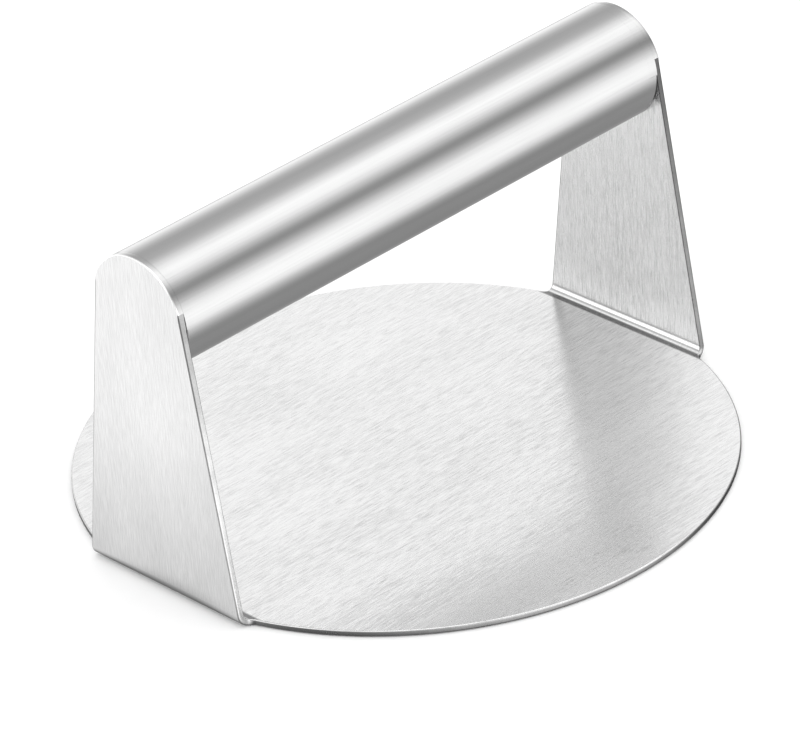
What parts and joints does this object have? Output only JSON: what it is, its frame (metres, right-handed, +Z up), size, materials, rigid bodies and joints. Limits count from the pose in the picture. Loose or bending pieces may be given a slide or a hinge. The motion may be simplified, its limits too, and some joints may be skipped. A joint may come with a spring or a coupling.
{
  "type": "bacon press",
  "caption": "Round flat press plate with tapered uprights folded up from the same sheet, and a tube handle welded across between their rounded tops.",
  "frame": {"origin": "centre of the pressing face, which is the underside of the round plate", "axes": "+X along the handle, +Y across it, +Z up from the pressing face"},
  "size_m": [0.1384, 0.14, 0.0773],
  "materials": {
    "brushed_sheet": "brushed along the handle's direction in the flat sheet, so the lines run upright on both uprights",
    "polished_tube": "satin polish",
    "ground_weld": "ground flush and polished"
  },
  "bodies": {
    "root": {"folded_plate": "brushed_sheet", "handle_tube": "polished_tube", "left_weld": "ground_weld", "right_weld": "ground_weld"}
  },
  "joints": []
}
